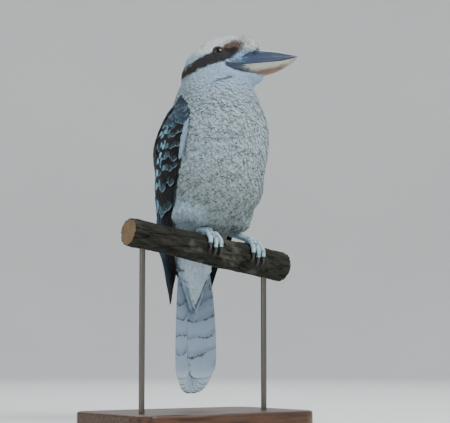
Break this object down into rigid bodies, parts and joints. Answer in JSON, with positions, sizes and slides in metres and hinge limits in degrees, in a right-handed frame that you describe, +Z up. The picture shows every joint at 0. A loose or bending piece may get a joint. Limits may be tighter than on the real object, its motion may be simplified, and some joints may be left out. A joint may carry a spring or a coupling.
{
  "type": "laughing kookaburra",
  "caption": "Life-size laughing kookaburra perched on a cut length of branch, head turned to its left, held over a flat base on plain rods.",
  "frame": {"origin": "middle of the base's flat underside, on the floor", "axes": "+Z up; the bird's breast faces -Y, its own left side is +X, and the perch runs along X"},
  "size_m": [0.236, 0.1608, 0.4306],
  "materials": {
    "plumage_pale": "matt, soft off-white feathers with fine grey-brown scaling",
    "plumage_brown": "matt dark brown feathers with pale blue spots on the coverts",
    "plumage_tail": "matt pale grey feathers with dark bars, rufous above",
    "bill_slate": "satin slate-grey horn",
    "bill_horn": "satin cream and brown horn",
    "eye": "wet-looking dark brown",
    "foot_skin": "matt, scaly grey-green skin",
    "bark": "rough grey-brown bark",
    "stand_wood": "satin brown wood",
    "rod_metal": "satin steel"
  },
  "bodies": {
    "root": {"torso": "plumage_pale", "neck": "plumage_pale", "head": "plumage_pale", "bill_upper": "bill_slate", "bill_lower": "bill_horn", "eye_left": "eye", "eye_right": "eye", "wing_left": "plumage_brown", "wing_right": "plumage_brown", "tail": "plumage_tail", "thigh_left": "plumage_pale", "thigh_right": "plumage_pale", "leg_left": "foot_skin", "leg_right": "foot_skin", "foot_left": "foot_skin", "foot_right": "foot_skin", "perch": "bark", "stand_base": "stand_wood", "stand_rod_left": "rod_metal", "stand_rod_right": "rod_metal"}
  },
  "joints": []
}
